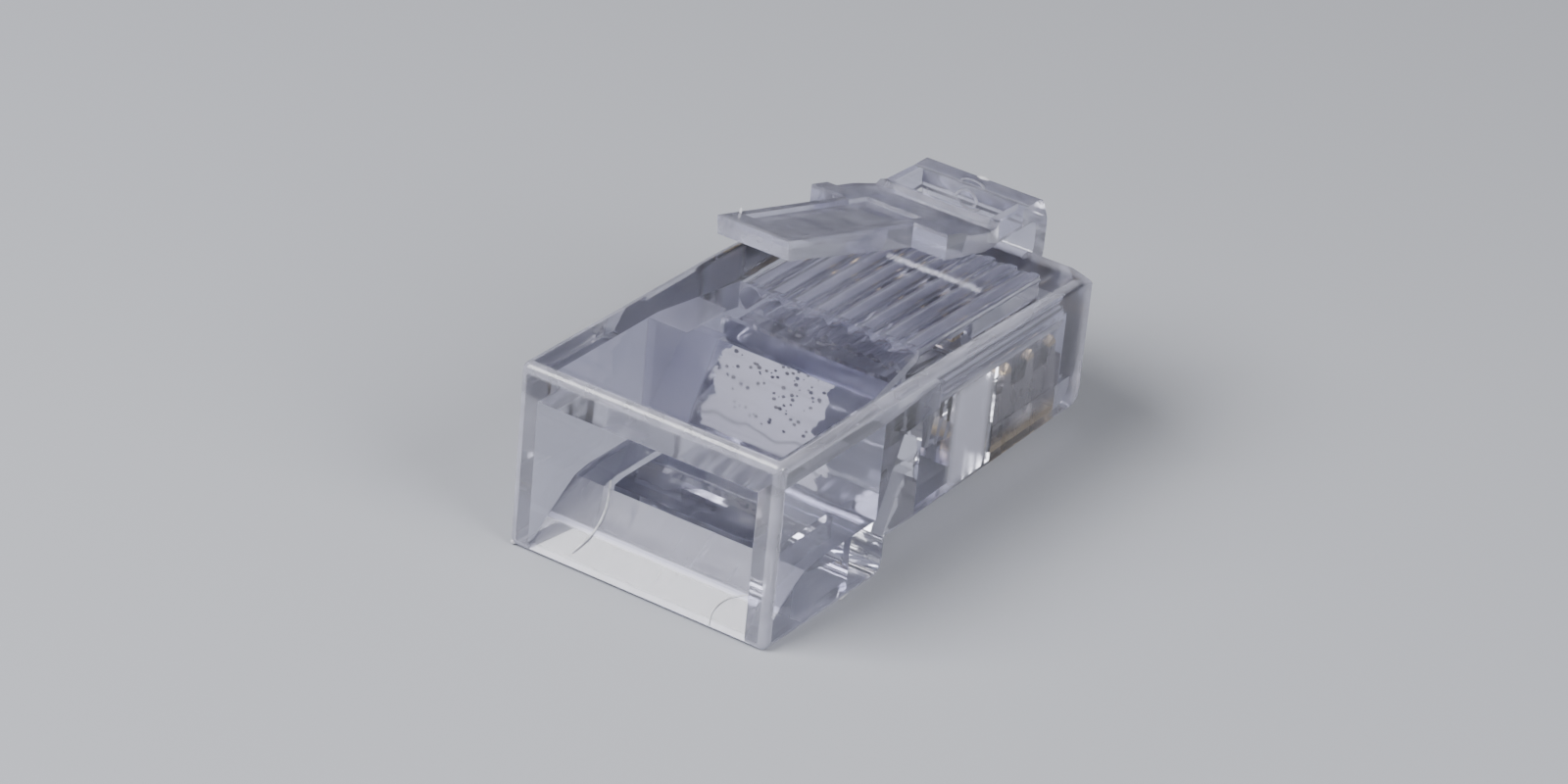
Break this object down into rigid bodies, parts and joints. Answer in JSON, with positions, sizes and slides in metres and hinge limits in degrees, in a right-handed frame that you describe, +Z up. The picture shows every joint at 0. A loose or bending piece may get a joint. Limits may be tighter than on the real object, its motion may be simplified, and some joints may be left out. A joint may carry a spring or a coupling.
{
  "type": "rj45 modular plug",
  "caption": "Clear modular plug for network cable: hollow housing with strain-relief bars, a row of contact blades and a sprung latch.",
  "frame": {"origin": "under the middle of the plug, level with the underside of the thick rear part", "axes": "+Y is the way the plug goes into a jack, +Z is up with the latch on top, X runs across it"},
  "size_m": [0.0116, 0.023, 0.0131],
  "materials": {
    "polycarbonate": "clear moulded, slightly frosted edges",
    "gold_plate": "gold plated over nickel"
  },
  "bodies": {
    "plug": {"housing": "polycarbonate", "contact_1": "gold_plate", "contact_2": "gold_plate", "contact_3": "gold_plate", "contact_4": "gold_plate", "contact_5": "gold_plate", "contact_6": "gold_plate", "contact_7": "gold_plate", "contact_8": "gold_plate"},
    "latch": {"latch": "polycarbonate"}
  },
  "joints": [
    {"name": "latch_press", "type": "hinge", "parent": "plug", "child": "latch", "pos_m": [0, 0.01013, 0.00655], "axis": [1, 0, 0], "range_deg": [0, 13], "stiffness_Nm_per_rad": 0.5}
  ]
}
